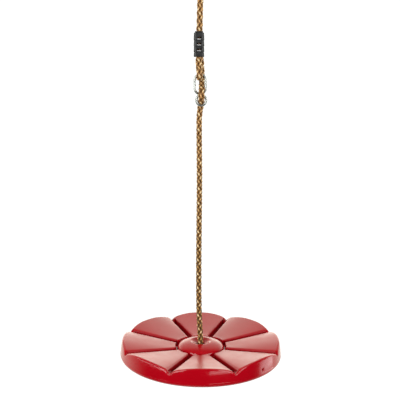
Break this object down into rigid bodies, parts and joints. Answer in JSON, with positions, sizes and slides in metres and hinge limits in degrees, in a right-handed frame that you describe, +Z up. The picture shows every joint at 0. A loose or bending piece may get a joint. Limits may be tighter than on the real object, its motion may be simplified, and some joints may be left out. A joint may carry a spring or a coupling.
{
  "type": "disc swing",
  "caption": "Round moulded petal-pattern disc seat hung at its middle on one braided rope, with a figure-eight length adjuster and a snap hook.",
  "frame": {"origin": "the hanging point: the inside of the snap hook's top bow, where it bears on the beam's eye", "axes": "+Z up along the hanging rope, -Y towards the swing's front, +X to its right"},
  "size_m": [0.294, 0.294, 0.8324],
  "materials": {
    "seat_red": "gloss",
    "rope_hemp": "braided",
    "steel_zinc": "zinc plated",
    "clamp_black": "satin"
  },
  "bodies": {
    "hook": {"snap_hook_body": "steel_zinc", "gate_pin": "steel_zinc"},
    "gate": {"snap_hook_gate": "steel_zinc"},
    "ring": {"hanging_ring": "steel_zinc"},
    "rope_head": {"thimble": "steel_zinc", "rope_top_bend": "rope_hemp", "rope_return_run": "rope_hemp", "rope_main_run": "rope_hemp"},
    "adjuster": {"adjuster_link": "steel_zinc", "clamp_front": "clamp_black", "clamp_back": "clamp_black", "rope_eye": "rope_hemp", "rope_weave": "rope_hemp"},
    "rope_foot": {"rope_lower_run": "rope_hemp", "rope_knot": "rope_hemp", "rope_tail": "rope_hemp"},
    "washer": {"knot_washer": "steel_zinc"},
    "seat": {"seat_shell": "seat_red"}
  },
  "joints": [
    {"name": "gate_swing", "type": "hinge", "parent": "hook", "child": "gate", "pos_m": [0, 0.013, -0.049], "axis": [1, 0, 0], "range_deg": [0, 24], "stiffness_Nm_per_rad": 0.05, "springref_deg": -17.19},
    {"name": "swing_side", "type": "hinge", "parent": "hook", "child": "ring", "pos_m": [0, 0, -0.068], "axis": [0, 1, 0], "range_deg": [-60, 60]},
    {"name": "swing_fore_aft", "type": "hinge", "parent": "ring", "child": "rope_head", "pos_m": [0, 0, -0.1032], "axis": [1, 0, 0], "range_deg": [-60, 60]},
    {"name": "adjuster_slide", "type": "slide", "parent": "rope_head", "child": "adjuster", "axis": [0, 0, -1], "range_m": [-0.04, 0.08], "deforming": ["rope_return_run", "rope_main_run"]},
    {"name": "seat_rise", "type": "slide", "parent": "adjuster", "child": "rope_foot", "axis": [0, 0, 1], "range_m": [-0.08, 0.16], "deforming": ["rope_lower_run"]},
    {"name": "seat_tilt", "type": "hinge", "parent": "rope_foot", "child": "washer", "pos_m": [0, 0, -0.7704], "axis": [1, 0, 0], "range_deg": [-8, 8]},
    {"name": "seat_spin", "type": "hinge", "parent": "washer", "child": "seat", "pos_m": [0, 0, -0.7704], "axis": [0.0105, 0, 0.9999], "continuous": true}
  ],
  "couplings": [
    {"joint": "seat_rise", "follows": "adjuster_slide", "ratio": 2}
  ]
}
